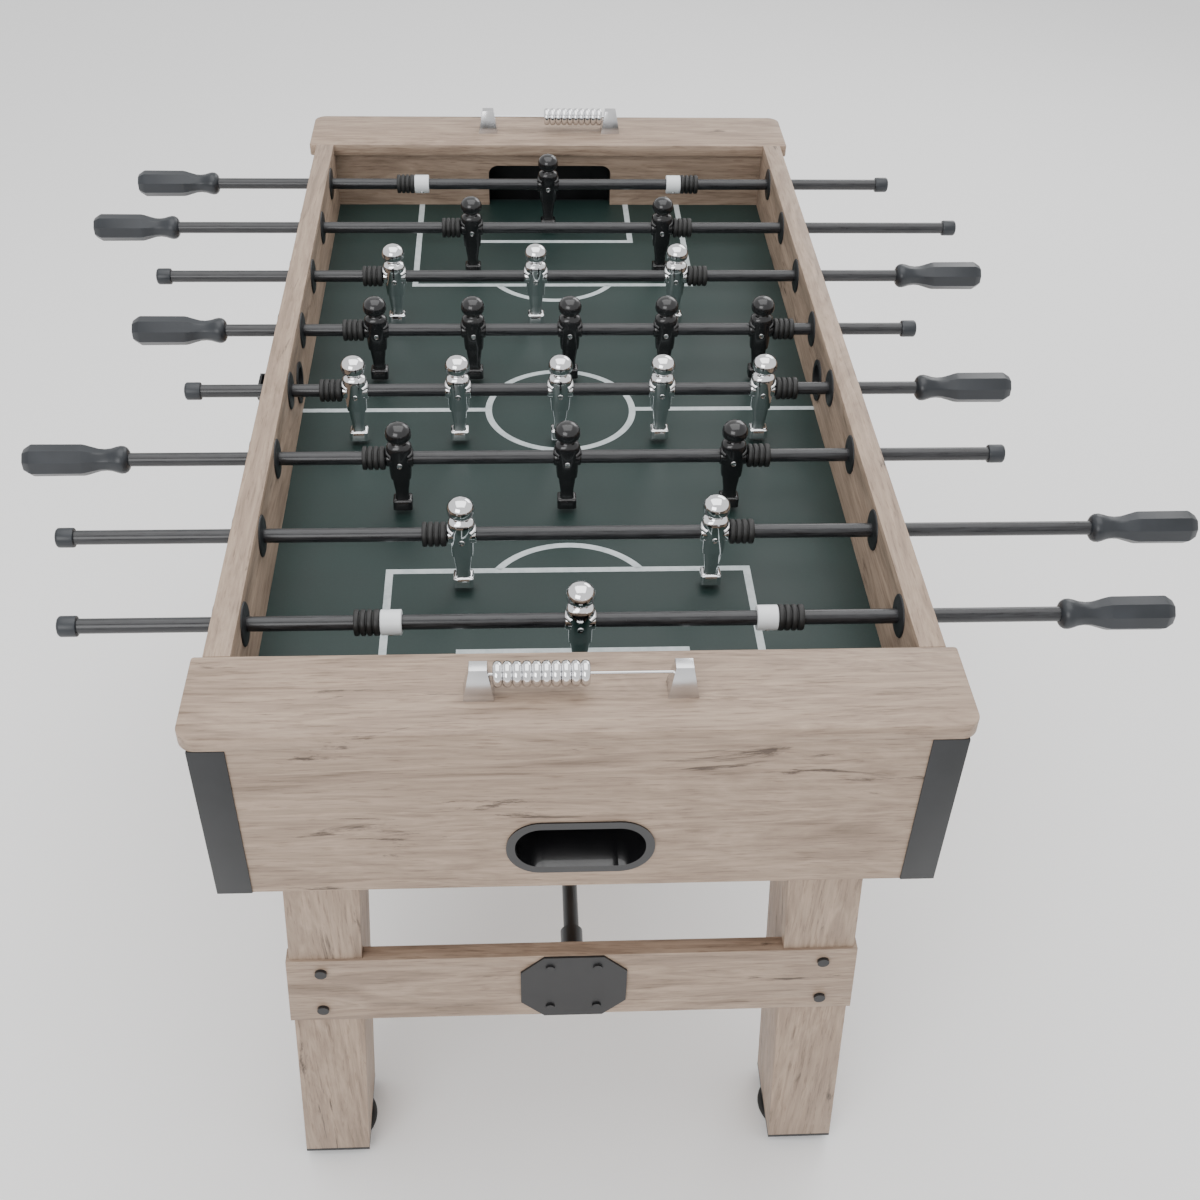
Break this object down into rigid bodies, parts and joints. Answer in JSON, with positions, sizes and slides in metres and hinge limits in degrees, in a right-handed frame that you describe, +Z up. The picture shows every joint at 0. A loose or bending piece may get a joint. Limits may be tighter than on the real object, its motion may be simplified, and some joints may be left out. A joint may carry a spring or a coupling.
{
  "type": "foosball table",
  "caption": "Free-standing table football game with sliding, spinning player rods, goals, ball returns, bead scorers and splayed legs with levelling feet.",
  "frame": {"origin": "on the floor, level with the middle of the playfield along its length, centred across the table's full width over the rods as they stand", "axes": "+Z up, +Y along the table towards the far goal, +X across it to the chrome team's handles"},
  "size_m": [1.38, 1.44, 0.911],
  "materials": {
    "oak": "light brown oak laminate, satin",
    "green_field": "dark green satin playfield sheet",
    "black_plastic": "black satin moulding",
    "gloss_black": "glossy black moulding",
    "black_metal": "black powder coat",
    "chrome_steel": "polished",
    "chrome_team": "polished silver plating",
    "black_team": "satin black moulding",
    "white_plastic": "white moulding",
    "black_rubber": "matt rubber",
    "silver_plastic": "silver moulding"
  },
  "bodies": {
    "cabinet": {"side_panel_left": "oak", "side_panel_right": "oak", "end_panels": "oak", "end_caps": "oak", "goal_walls": "oak", "goal_liners": "black_plastic", "ball_return_cups": "gloss_black", "ball_entry_cups": "black_plastic", "corner_guards": "black_plastic", "playfield": "green_field", "base_panel": "oak", "rod_bearings": "black_plastic", "legs": "oak", "stretchers": "oak", "tube_mounts": "black_metal", "cross_tube": "black_metal", "frame_fasteners": "black_metal", "foot_plates": "black_metal", "scorer_stands": "silver_plastic", "scorer_wires": "chrome_steel"},
    "bumper_set_1": {"bumpers_1": "black_rubber"},
    "player_rod_1": {"rod_1": "black_metal", "men_1": "chrome_team", "grips_1": "black_plastic", "stop_collars_1": "white_plastic"},
    "bumper_set_2": {"bumpers_2": "black_rubber"},
    "player_rod_2": {"rod_2": "black_metal", "men_2": "chrome_team", "grips_2": "black_plastic"},
    "bumper_set_3": {"bumpers_3": "black_rubber"},
    "player_rod_3": {"rod_3": "black_metal", "men_3": "black_team", "grips_3": "black_plastic"},
    "bumper_set_4": {"bumpers_4": "black_rubber"},
    "player_rod_4": {"rod_4": "black_metal", "men_4": "chrome_team", "grips_4": "black_plastic"},
    "bumper_set_5": {"bumpers_5": "black_rubber"},
    "player_rod_5": {"rod_5": "black_metal", "men_5": "black_team", "grips_5": "black_plastic"},
    "bumper_set_6": {"bumpers_6": "black_rubber"},
    "player_rod_6": {"rod_6": "black_metal", "men_6": "chrome_team", "grips_6": "black_plastic"},
    "bumper_set_7": {"bumpers_7": "black_rubber"},
    "player_rod_7": {"rod_7": "black_metal", "men_7": "black_team", "grips_7": "black_plastic"},
    "bumper_set_8": {"bumpers_8": "black_rubber"},
    "player_rod_8": {"rod_8": "black_metal", "men_8": "black_team", "grips_8": "black_plastic", "stop_collars_8": "white_plastic"},
    "foot_far_left": {"leveler_far_left": "black_rubber"},
    "foot_far_right": {"leveler_far_right": "black_rubber"},
    "foot_near_left": {"leveler_near_left": "black_rubber"},
    "foot_near_right": {"leveler_near_right": "black_rubber"},
    "score_beads_far": {"scorer_beads_far": "chrome_steel"},
    "score_beads_near": {"scorer_beads_near": "chrome_steel"}
  },
  "joints": [
    {"name": "rod_1_slide", "type": "slide", "parent": "cabinet", "child": "bumper_set_1", "axis": [1, 0, 0], "range_m": [-0.108, 0.098]},
    {"name": "rod_1_spin", "type": "hinge", "parent": "bumper_set_1", "child": "player_rod_1", "pos_m": [-0.015, -0.525, 0.847], "axis": [1, 0, 0], "continuous": true},
    {"name": "rod_2_slide", "type": "slide", "parent": "cabinet", "child": "bumper_set_2", "axis": [1, 0, 0], "range_m": [-0.172, 0.132]},
    {"name": "rod_2_spin", "type": "hinge", "parent": "bumper_set_2", "child": "player_rod_2", "pos_m": [0, -0.375, 0.847], "axis": [1, 0, 0], "continuous": true},
    {"name": "rod_3_slide", "type": "slide", "parent": "cabinet", "child": "bumper_set_3", "axis": [1, 0, 0], "range_m": [-0.096, 0.094]},
    {"name": "rod_3_spin", "type": "hinge", "parent": "bumper_set_3", "child": "player_rod_3", "pos_m": [-0.019, -0.225, 0.847], "axis": [1, 0, 0], "continuous": true},
    {"name": "rod_4_slide", "type": "slide", "parent": "cabinet", "child": "bumper_set_4", "axis": [1, 0, 0], "range_m": [-0.033, 0.039]},
    {"name": "rod_4_spin", "type": "hinge", "parent": "bumper_set_4", "child": "player_rod_4", "pos_m": [-0.023, -0.075, 0.847], "axis": [1, 0, 0], "continuous": true},
    {"name": "rod_5_slide", "type": "slide", "parent": "cabinet", "child": "bumper_set_5", "axis": [1, 0, 0], "range_m": [-0.05, 0.022]},
    {"name": "rod_5_spin", "type": "hinge", "parent": "bumper_set_5", "child": "player_rod_5", "pos_m": [-0.006, 0.075, 0.847], "axis": [1, 0, 0], "continuous": true},
    {"name": "rod_6_slide", "type": "slide", "parent": "cabinet", "child": "bumper_set_6", "axis": [1, 0, 0], "range_m": [-0.066, 0.124]},
    {"name": "rod_6_spin", "type": "hinge", "parent": "bumper_set_6", "child": "player_rod_6", "pos_m": [-0.049, 0.225, 0.847], "axis": [1, 0, 0], "continuous": true},
    {"name": "rod_7_slide", "type": "slide", "parent": "cabinet", "child": "bumper_set_7", "axis": [1, 0, 0], "range_m": [-0.172, 0.132]},
    {"name": "rod_7_spin", "type": "hinge", "parent": "bumper_set_7", "child": "player_rod_7", "pos_m": [0, 0.375, 0.847], "axis": [1, 0, 0], "continuous": true},
    {"name": "rod_8_slide", "type": "slide", "parent": "cabinet", "child": "bumper_set_8", "axis": [1, 0, 0], "range_m": [-0.098, 0.108]},
    {"name": "rod_8_spin", "type": "hinge", "parent": "bumper_set_8", "child": "player_rod_8", "pos_m": [-0.025, 0.525, 0.847], "axis": [1, 0, 0], "continuous": true},
    {"name": "leveler_far_left_screw", "type": "slide", "parent": "cabinet", "child": "foot_far_left", "axis": [0, 0, -1], "range_m": [0, 0.015]},
    {"name": "leveler_far_right_screw", "type": "slide", "parent": "cabinet", "child": "foot_far_right", "axis": [0, 0, -1], "range_m": [0, 0.015]},
    {"name": "leveler_near_left_screw", "type": "slide", "parent": "cabinet", "child": "foot_near_left", "axis": [0, 0, -1], "range_m": [0, 0.015]},
    {"name": "leveler_near_right_screw", "type": "slide", "parent": "cabinet", "child": "foot_near_right", "axis": [0, 0, -1], "range_m": [0, 0.015]},
    {"name": "beads_far_slide", "type": "slide", "parent": "cabinet", "child": "score_beads_far", "axis": [-1, 0, 0], "range_m": [0, 0.074]},
    {"name": "beads_near_slide", "type": "slide", "parent": "cabinet", "child": "score_beads_near", "axis": [1, 0, 0], "range_m": [0, 0.074]}
  ]
}
